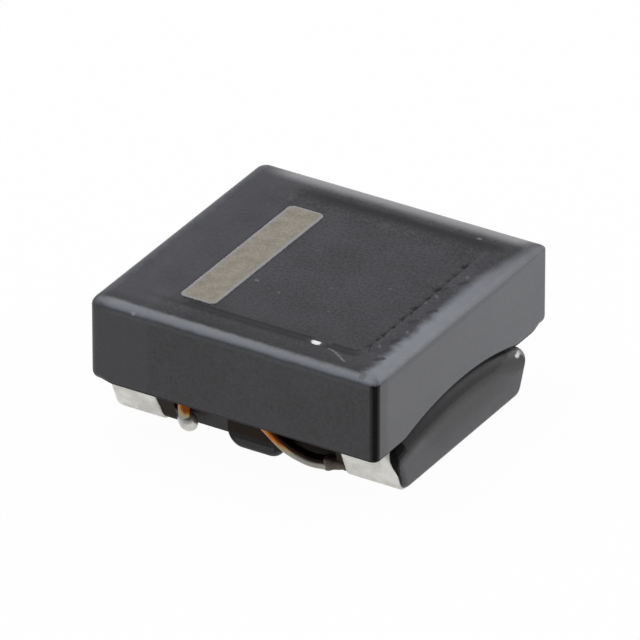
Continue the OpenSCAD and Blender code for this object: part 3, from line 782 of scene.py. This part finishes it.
# Thickness of the plating: a quarter circle from nothing at the border to full past the ease
def platingDepth(border, ease):
    return (plate["t"] + plate["sunk"]) * np.sqrt(1 - (1 - np.clip(border / ease, 0, 1)) ** 2)


def terminalSkins(sx, sy, stripLow, stripHigh, endLow, endHigh, seed):
    low = np.radians(np.linspace(-90, flankA, 10))
    high = np.radians(np.linspace(flankA, plate["top"], 16))
    padY = np.linspace(plate["padY"], footC[0], 12)[:-1]
    mid = np.linspace(0, 1, 10)[1:-1, None]
    lowP = footC + base["footR"] * np.stack([np.cos(low), np.sin(low)], -1)
    highP = shoulderC + base["shoulderR"] * np.stack([np.cos(high), np.sin(high)], -1)
    pad = np.stack([padY, np.full(len(padY), base["bottom"])], -1)
    path = join([pad, lowP, lowP[-1] * (1 - mid) + highP[0] * mid, highP])
    angle = join([np.full(len(pad), low[0]), low, np.full(len(mid), high[0]), high])
    length = join([[0], np.cumsum(np.hypot(*np.diff(path, axis=0).T))])
    climb = smooth((path[:, 0] - 1.25) / 0.3)
    slant = np.clip((path[:, 1] - 0.05) / 0.6, 0, 1)
    strip = np.maximum(stripLow + (stripHigh - stripLow) * slant, plate["leastStrip"])
    startX = base["footX"] + climb * strip + uneven(length * 2.5, seed, 0.006)
    lean = smooth((path[:, 1] - 0.30) / 0.5)
    endX = endLow + (endHigh - endLow) * lean + uneven(length * 1.5, seed + 1, 0.004)
    t = 0.5 - 0.5 * np.cos(np.linspace(0, np.pi, 34))
    x = startX[:, None] + (endX - startX)[:, None] * t
    fromSide = np.minimum(x - startX[:, None], endX[:, None] - x)
    fromEnd = np.minimum(length, length[-1] - length)[:, None]
    depth = platingDepth(np.minimum(fromSide, fromEnd), plate["ease"])
    sheets = []
    for thickness in (depth, 0 * depth):
        offset = thickness - plate["sunk"] - endInset(x)
        y, z = path[:, :1] + np.cos(angle)[:, None] * offset, path[:, 1:] + np.sin(angle)[:, None] * offset
        sheets.append(np.stack([sx * x, sy * y, z], -1))
    wrapZ = np.linspace(plate["wrapLow"], plate["innerH"], 14)
    edgeY = np.interp(wrapZ, path[len(pad):, 1], path[len(pad):, 0])
    v = 0.5 - 0.5 * np.cos(np.linspace(0, np.pi, 12))
    y = base["notchY"] + (edgeY - base["notchY"])[:, None] * v
    z = np.repeat(wrapZ[:, None], len(v), 1)
    fromSide = np.minimum(y - base["notchY"], edgeY[:, None] - y)
    depth = platingDepth(np.minimum(fromSide, np.minimum(z - wrapZ[0], wrapZ[-1] - z)), plate["wrapEase"])
    wrapX = [base["footX"] - thickness + plate["sunk"] for thickness in (depth, 0 * depth)]
    wraps = [np.stack([sx * x, sy * y, z], -1) for x in wrapX]
    return [closedSkin(*sheets), closedSkin(*wraps)]


# Painted shade on the left terminals from half way up to the shoulder, and on every inner side
def tinShadeZone(p):
    onInside = (np.abs(p[:, 0]) < 1.425) & (p[:, 2] > 0.1)
    onLeft = np.where(p[:, 0] < 0, 0.25 * smooth((p[:, 2] - 0.40) / 0.38), 0)
    return {"tarnish": np.where(onInside, 1, onLeft)}


for label, node, sx, sy, stripLow, stripHigh, endLow, endHigh, seed in (
    ("terminalFrontLeft", "electrode_front_left", -1, -1, 0.25, 0.32, 2.54, 2.54, 11),
    ("terminalFrontRight", "electrode_front_right", 1, -1, 0.11, 0.10, 2.465, 2.34, 23),
    ("terminalBackLeft", "electrode_back_left", -1, 1, 0.26, 0.30, 2.54, 2.54, 37),
    ("terminalBackRight", "electrode_back_right", 1, 1, 0.10, 0.02, 2.465, 2.34, 41),
):
    skins = terminalSkins(sx, sy, stripLow, stripHigh, endLow, endHigh, seed)
    terminal = addPiece(label, skins, [tinPlate], plate["crease"], tinShadeZone)
    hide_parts(node)

# Windings: two wires side by side, layers that climb and sink in turn, leads down to the terminals
wire = {"r": 0.11, "gap": 0.02, "layers": 4, "outR": 1.75, "bend": 0.2, "sides": 18, "stations": 2200}
wire.update({"stepA": 60.0, "climbA": 80.0, "leaveA": -113.0, "crease": 60.0})
lead = {"x": 1.24, "y": 1.83, "tipZ": 0.18, "kneeGap": 0.05}
copperWire, tree, shader, place = newLook("copperWire")
skin = useGroup(tree, grain, place, Broad=5200.0, Fine=30000.0)
tinned, charred = readZone(tree, "tinned"), readZone(tree, "charred")
enamel = addMix(tree, skin["Cloud"], (0.38, 0.110, 0.012), (0.52, 0.190, 0.025))
olive = addMix(tree, addRange(tree, tinned, 0.0, 0.5), enamel, (0.33, 0.26, 0.13))
bare = addMix(tree, addRange(tree, tinned, 0.45, 0.9), olive, (0.29, 0.28, 0.25))
# Painted shade: one zone darkens the enamel to amber, then near black
enamelShade = times(tree, addRange(tree, charred, 0.0, 0.6), addRange(tree, tinned, 0.5, 0.05))
amber = addMix(tree, enamelShade, bare, (0.150, 0.036, 0.003))
wireColour = addMix(tree, addRange(tree, charred, 0.6, 1.0), amber, (0.022, 0.013, 0.008))
wireRough = addRange(tree, skin["Cloud"], 0.0, 1.0, 0.20, 0.30)
feedAll(tree, shader, {"Base Color": wireColour, "Roughness": wireRough, "Metallic": 0.96})
feedAll(tree, shader, {"Coat Weight": 0.08, "Coat Roughness": 0.12})
spacing = 2 * wire["r"] + wire["gap"]
pitch = 2 * spacing
coilR = wire["outR"] - (wire["layers"] - 1) * spacing
leadZ = base["flange"] + wire["gap"] + wire["r"]
rowZ = leadZ + spacing
riseRoom = cap["ceiling"] - wire["gap"] - wire["r"] - spacing - rowZ
laneY = tongue["y"] + wire["gap"] + wire["r"]


# Angle between a lead's foot and the place where its tangent meets the coil
def reachOf(r):
    return np.degrees(np.arccos(r / np.hypot(lead["x"], lead["y"])))


enterOne = np.degrees(np.arctan2(-lead["y"], -lead["x"])) + reachOf(coilR)
enterTwo = np.degrees(np.arctan2(lead["y"], -lead["x"])) + reachOf(coilR) - 360
leaveTwo = np.degrees(np.arctan2(lead["y"], lead["x"])) - reachOf(wire["outR"])
sweepPart = (wire["leaveA"] - enterOne) % 360
sweepRoom = wire["layers"] * riseRoom / pitch * 360 + (wire["layers"] - 1) * wire["stepA"]
sweep = sweepPart + 360 * np.floor((sweepRoom - sweepPart) / 360)
layerSweep = (sweep - (wire["layers"] - 1) * wire["stepA"]) / wire["layers"]
early, late = enterOne - enterTwo, leaveTwo - wire["leaveA"]


# Coil at a winding angle: radius steps out between layers, height goes up and down in turn
def coilState(t):
    whole = layerSweep + wire["stepA"]
    layer = np.clip(np.floor(t / whole), 0, wire["layers"] - 1)
    return layer, t - layer * whole


def coilRadius(t):
    layer, rest = coilState(t)
    stepped = layer + np.clip(rest - layerSweep, 0, None) / wire["stepA"]
    return coilR + spacing * np.clip(stepped, 0, wire["layers"] - 1)


def coilHeight(t):
    layer, rest = coilState(t)
    part = np.clip(rest / layerSweep, 0, 1)
    return rowZ + pitch * layerSweep / 360 * np.where(layer % 2 == 0, part, 1 - part)


def coilPath(r, t, z):
    a = np.radians(enterOne + t)
    return np.stack([r * np.cos(a), r * np.sin(a), z], -1)


# Straight runs through corners, each corner rounded by a parabola
def bentRun(corners):
    corners = np.array(corners, float)
    t = np.linspace(0, 1, 12)[:, None]
    parts = [corners[:1]]
    for a, b, c in zip(corners, corners[1:], corners[2:]):
        k = min(wire["bend"], 0.45 * np.linalg.norm(a - b), 0.45 * np.linalg.norm(c - b))
        p, q = b + k * (a - b) / np.linalg.norm(a - b), b + k * (c - b) / np.linalg.norm(c - b)
        parts.append((1 - t) ** 2 * p + 2 * t * (1 - t) * b + t ** 2 * q)
    return join(parts + [corners[-1:]])


def dropLead(sx, sy, z, to):
    x, y = sx * lead["x"], sy * lead["y"]
    return bentRun([(x - sx * wire["r"] / 2, y, lead["tipZ"]), (x, y, plate["innerH"]), (x, y, z), to])


# Even stations along a path, with the direction ahead at each
def evenStations(path):
    length = join([[0], np.cumsum(np.linalg.norm(np.diff(path, axis=0), axis=1))])
    stations = np.linspace(0, length[-1], wire["stations"])
    path = np.stack([np.interp(stations, length, path[:, k]) for k in range(3)], -1)
    ahead = np.gradient(path, axis=0)
    return path, ahead / np.linalg.norm(ahead, axis=1, keepdims=True)


# Round tube: rings square to the path, turned from the coil's axis outwards; its ends close to a point
def roundTube(path):
    path, ahead = evenStations(path)
    out = path * [1, 1, 0]
    out = out - (out * ahead).sum(1, keepdims=True) * ahead
    out /= np.linalg.norm(out, axis=1, keepdims=True)
    side = np.cross(ahead, out)
    a = np.linspace(0, 2 * np.pi, wire["sides"], endpoint=False)[:, None]
    return path[:, None] + wire["r"] * (np.cos(a) * out[:, None] + np.sin(a) * side[:, None])


mainT = np.linspace(0, sweep, 900)
climbEnd = coilHeight(np.array([wire["climbA"]]))[0]
climbing = leadZ + (climbEnd - leadZ) * mainT / wire["climbA"]
oneZ = np.where(mainT < wire["climbA"], climbing, coilHeight(mainT))
coilOne = coilPath(coilRadius(mainT), mainT, oneZ)
beforeT = np.linspace(-early, 0, 90)[:-1]
afterT = np.linspace(sweep, sweep + late, 80)[1:]
secondZ = rowZ + spacing
before = coilPath(coilR, beforeT, secondZ + (leadZ - secondZ) * -beforeT / early)
after = coilPath(wire["outR"], afterT, secondZ - pitch * (afterT - sweep) / 360)
coilTwo = join([before, coilPath(coilRadius(mainT), mainT, coilHeight(mainT) + spacing), after])
leaveP, leaveA = coilOne[-1], np.radians(wire["leaveA"])
slantTop = np.array([leaveP[0] + (laneY + leaveP[1]) * np.tan(leaveA), -laneY, leadZ])
kneeX, turnX = lead["x"] - 2 * wire["r"] - lead["kneeGap"], tongue["halfX"] + 2 * wire["r"]
turnZ = leadZ + (lead["tipZ"] - leadZ) * (turnX - slantTop[0]) / (kneeX - slantTop[0])
slantEnd = (base["footX"] - plate["t"] - wire["r"], -base["footY"], lead["tipZ"])
slantLead = bentRun([leaveP, slantTop, (turnX, -laneY, turnZ), (kneeX, -lead["y"], lead["tipZ"]), slantEnd])
pathOne = join([dropLead(-1, -1, leadZ, coilOne[0])[:-1], coilOne, slantLead[1:]])
lastLead = dropLead(1, 1, coilTwo[-1][2], coilTwo[-1])[::-1]
pathTwo = join([dropLead(-1, 1, leadZ, coilTwo[0])[:-1], coilTwo, lastLead[1:]])


# Leads: painted shade darkens the enamel away from one lit flank; tin creeps up from the foot, higher on the
# lit flank of the upright leads as a painted highlight
def leadZones(p, path):
    path, ahead = evenStations(path)
    onLead, nearLead = np.abs(p[:, 1]) > 1.5, np.abs(path[:, 1]) > 1.4
    q, centres, ways = p[onLead], path[nearLead], ahead[nearLead]
    nearest = ((q[:, None] - centres) ** 2).sum(-1).argmin(1)
    offset = q - centres[nearest]
    offset = offset - (offset * ways[nearest]).sum(1, keepdims=True) * ways[nearest]
    slanted = (q[:, 0] > 0) & (q[:, 1] < 0)
    dropFlank = [-0.856, -0.517, 0.0] * np.where(q[:, 1:2] < 0, 1, -1)
    flank = np.where(slanted[:, None], [-0.307, -0.648, -0.697], dropFlank)
    lit = (offset * flank).sum(1) / wire["r"]
    onSlant = np.interp(lit - 0.16 * smooth((q[:, 0] - 0.6) / 0.25), [0.1, 0.42, 0.68], [1.0, 0.6, 0.0])
    onDrop = np.interp(lit, [-1, -0.8, 0.35, 0.75], [0.8, 0.62, 0.6, 0.0])
    tinLow, tinTop = 0.22, np.where(slanted, 0.58, np.where(lit > 0.4, 0.54, 0.46))
    charred, tinned = np.zeros(len(p)), np.zeros(len(p))
    charred[onLead] = np.where(slanted, onSlant, onDrop)
    tinned[onLead] = 1 - smooth((q[:, 2] - tinLow) / (tinTop - tinLow))
    return {"charred": charred, "tinned": tinned}


for label, node, path in (("windingOne", "winding_one", pathOne), ("windingTwo", "winding_two", pathTwo)):
    tube = closedLoft(roundTube(path))
    winding = addPiece(label, [tube], [copperWire], wire["crease"], lambda p: leadZones(p, path))
    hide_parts(node)

# Solder: a lumpy drop round each lead's tip, pulled out to the foot and flat on the ground
drop = {"flow": 0.18, "lump": 0.035, "ground": 0.004, "crease": 80.0}
solderTin = tinLook("solderTin", (0.56, 0.55, 0.51), (0.82, 0.81, 0.77), 0.22, 0.38)
# A dark copy of the tin for the front right drop: painted shade
shadedTin = tinLook("shadedTin", (0.075, 0.060, 0.046), (0.16, 0.14, 0.11), 0.25, 0.4)


def solderDrop(centre, to, size, seed):
    u = np.linspace(0, np.pi, 30)[1:-1, None]
    v = np.linspace(0, 2 * np.pi, 44, endpoint=False)
    way = np.stack([np.sin(u) * np.cos(v), np.sin(u) * np.sin(v), np.cos(u) * np.ones_like(v)], -1)
    lean = np.array(to) - centre
    pull = np.clip((way * lean / np.linalg.norm(lean)).sum(-1), 0, 1) ** 6
    swell = np.sin(3 * way[..., 0] + seed) * np.cos(4 * way[..., 2] - seed)
    lump = swell + np.sin(5 * way[..., 1] + 2 * seed)
    points = np.array(centre) + way * (size * (1 + drop["lump"] * lump) + drop["flow"] * pull)[..., None]
    points[..., 2] = np.maximum(points[..., 2], drop["ground"])
    return closedLoft(points)


for label, node, centre, to, size, seed, look in (
    ("solderFrontLeft", "solder_joint_front_left",
     (-1.17, -1.83, 0.200), (-1.40, -1.66, 0.17), 0.145, 1.0, solderTin),
    ("solderFrontRight", "solder_joint_front_right",
     (1.245, -1.755, 0.185), (1.46, -1.70, 0.20), 0.125, 2.3, shadedTin),
    ("solderBackLeft", "solder_joint_back_left",
     (-1.17, 1.83, 0.185), (-1.40, 1.66, 0.16), 0.16, 3.1, solderTin),
    ("solderBackRight", "solder_joint_back_right",
     (1.17, 1.83, 0.185), (1.40, 1.66, 0.16), 0.16, 4.4, solderTin),
):
    solder = addPiece(label, [solderDrop(centre, to, size, seed)], [look], drop["crease"])
    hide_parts(node)

# Bond lines: a rectangle swept along the arch, of dark cured resin
bond = {"in": 2.065, "out": 2.265, "halfY": 1.65, "hang": 0.01, "crease": 40.0}
bondResin, tree, shader, place = newLook("bondResin")
skin = useGroup(tree, grain, place, Broad=4000.0, Fine=20000.0)
bondColour = addMix(tree, skin["Cloud"], (0.012, 0.010, 0.009), (0.028, 0.024, 0.020))
bondRough = addRange(tree, skin["Grit"], 0.0, 1.0, 0.25, 0.4)
feedAll(tree, shader, {"Base Color": bondColour, "Roughness": bondRough})
sweepY = np.linspace(-bond["halfY"], bond["halfY"], 60)
bondLow = np.maximum(arch["axis"] + np.sqrt(landArch ** 2 - sweepY ** 2), cap["foot"] - bond["hang"])
bondHigh = arch["axis"] + np.sqrt(arch["r"] ** 2 - sweepY ** 2)
corners = [(bond["in"], bondLow), (bond["out"], bondLow), (bond["out"], bondHigh), (bond["in"], bondHigh)]
for label, node, side in (("bondLeft", "cap_adhesive_left", -1), ("bondRight", "cap_adhesive_right", 1)):
    rings = np.stack([np.stack([np.full(len(sweepY), side * x), sweepY, z], -1) for x, z in corners], 1)
    strip = addPiece(label, [closedLoft(rings)], [bondResin], bond["crease"])
    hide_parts(node)

# Polarity bar: a thin pillow with round corners and an uneven edge, of chalky beige ink with a paler rim
bar = {"x": -1.110, "y": -0.085, "halfX": 0.31, "halfY": 1.612, "r": 0.10, "leastR": 0.03, "crease": 60.0}
bar.update({"t": 0.02, "ragged": 0.007, "raggedIn": 0.06, "rimFrom": 0.012, "rimOver": 0.045})
barInk, tree, shader, place = newLook("barInk")
skin = useGroup(tree, grain, place, Broad=5200.0, Fine=24000.0)
tone = mixedTone(tree, skin, 0.45)
ink = addMix(tree, tone, (0.200, 0.180, 0.140), (0.320, 0.292, 0.242))
barColour = addMix(tree, readZone(tree, "rim"), ink, (0.30, 0.305, 0.31))
barRough = addRange(tree, tone, 0.0, 1.0, 0.6, 0.8)
feedAll(tree, shader, {"Base Color": barColour, "Roughness": barRough, "Specular IOR Level": 0.25})
addBump(tree, shader, skin["Grit"], 0.2, 0.000005)
barIn = np.array([0, 0.0, 0.003, 0.01, 0.03, 0.06, 0.12, 0.2, 0.28])
barZ = panelZ + np.array([-0.003, 0.010, 0.017] + [bar["t"]] * 6)
bx, by = outline(bar["halfX"] - barIn, bar["halfY"] - barIn, np.maximum(bar["r"] - barIn, bar["leastR"]))
ragged = uneven(wayLength * 10, 9, bar["ragged"]) * (1 - smooth(barIn / bar["raggedIn"]))[:, None]
bx = bx + bar["x"] + ragged * np.cos(walkA)
by = by + bar["y"] + ragged * np.sin(walkA)


def rimZone(p):
    inside = np.minimum(bar["halfX"] - np.abs(p[:, 0] - bar["x"]), bar["halfY"] - np.abs(p[:, 1] - bar["y"]))
    return {"rim": 1 - smooth((inside - bar["rimFrom"]) / bar["rimOver"])}


pillow = closedLoft(flatRings(bx, by, barZ[:, None]))
polarityBar = addPiece("polarityBar", [pillow], [barInk], bar["crease"], rimZone)
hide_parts("polarity_mark")
print("pieces made")


# Two shaders mixed by a factor and sent to the output
def mixOut(tree, output, factor, first, second):
    mixed = addNode(tree, "ShaderNodeMixShader")
    for socket, value in zip(mixed.inputs, (factor, first, second)):
        feed(tree, socket, value)
    feed(tree, tree.nodes[output].inputs["Surface"], mixed.outputs[0])


# Floor: pale paper, shown white to the camera and in gloss, keeping a little of the shadow
sheet = {"half": 0.3, "grey": (0.82, 0.82, 0.82, 1), "rough": 0.9, "white": 0.97, "glossWhite": 0.85}
floorLook, tree, paper, place = newLook("floorPaper")
feedAll(tree, paper, {"Base Color": sheet["grey"], "Roughness": sheet["rough"]})
glow = addNode(tree, "ShaderNodeEmission")
rays = addNode(tree, "ShaderNodeLightPath").outputs
throughGloss = addMath(tree, "MAXIMUM", rays["Is Glossy Ray"], rays["Is Transmission Ray"])
inGloss = times(tree, throughGloss, sheet["glossWhite"])
inView = times(tree, rays["Is Camera Ray"], sheet["white"])
mixOut(tree, "Material Output", addMath(tree, "MAXIMUM", inView, inGloss), paper.outputs[0], glow.outputs[0])
floorMesh = bpy.data.meshes.new("floorSheet")
cornerSigns = (-1, -1), (1, -1), (1, 1), (-1, 1)
floorCorners = [(sheet["half"] * sx, sheet["half"] * sy, 0) for sx, sy in cornerSigns]
floorMesh.from_pydata(floorCorners, [], [(0, 1, 2, 3)])
floorMesh.materials.append(floorLook)
floorSheet = bpy.data.objects.new("floorSheet", floorMesh)
bpy.context.scene.collection.objects.link(floorSheet)

# World: white to the camera, soft grey light
world = bpy.data.worlds.new("softRoom")
world.use_nodes = True
bpy.context.scene.world = world
tree = world.node_tree
room = tree.nodes["Background"]
feed(tree, room.inputs["Color"], (0.47, 0.47, 0.50, 1))
backdrop = addNode(tree, "ShaderNodeBackground")
feed(tree, backdrop.inputs["Color"], (1, 1, 1, 1))
toCamera = addNode(tree, "ShaderNodeLightPath").outputs["Is Camera Ray"]
mixOut(tree, "World Output", toCamera, room.outputs[0], backdrop.outputs[0])


# Lamp: a square panel that faces the part
def addLamp(name, place, size, power):
    lamp = bpy.data.lights.new(name, "AREA")
    lamp.shape = "SQUARE"
    lamp.size = size
    lamp.energy = power
    holder = bpy.data.objects.new(name, lamp)
    back = Vector(place).normalized()
    turned = back.to_track_quat("Z", "Y").to_matrix().to_4x4()
    holder.matrix_world = Matrix.Translation(Vector(place)) @ turned
    bpy.context.scene.collection.objects.link(holder)


addLamp("overheadPanel", (-0.055, -0.005, 0.105), 0.095, 0.070)
addLamp("backRightPanel", (0.045, 0.100, 0.060), 0.09, 0.060)

# Camera at the photograph's angle: turned and tilted about a place on the part, then shifted in its own plane
photo = {"turn": 31.15, "tilt": 29.59, "far": 183.9, "aimZ": 0.905, "right": 0.018, "up": 0.4375}
photo.update({"lens": 688.0, "sensor": 36.0, "near": 0.01, "end": 10.0})
turnA, tiltA = np.radians(photo["turn"]), np.radians(photo["tilt"])
back = np.array([np.sin(turnA) * np.cos(tiltA), -np.cos(turnA) * np.cos(tiltA), np.sin(tiltA)])
right = np.array([np.cos(turnA), np.sin(turnA), 0])
upward = np.cross(back, right)
aim = np.array([0, 0, photo["aimZ"]])
place = (aim + photo["far"] * back + photo["right"] * right + photo["up"] * upward) * mm
lens = bpy.data.cameras.new("photoCamera")
lens.lens = photo["lens"]
lens.sensor_width = photo["sensor"]
lens.clip_start = photo["near"]
lens.clip_end = photo["end"]
camera = bpy.data.objects.new("photoCamera", lens)
pose = np.vstack([np.column_stack([right, upward, back, place]), [0, 0, 0, 1]])
camera.matrix_world = Matrix(pose.tolist())
bpy.context.scene.collection.objects.link(camera)
bpy.context.scene.camera = camera
bpy.context.scene.view_settings.view_transform = "Standard"
print("stage set")
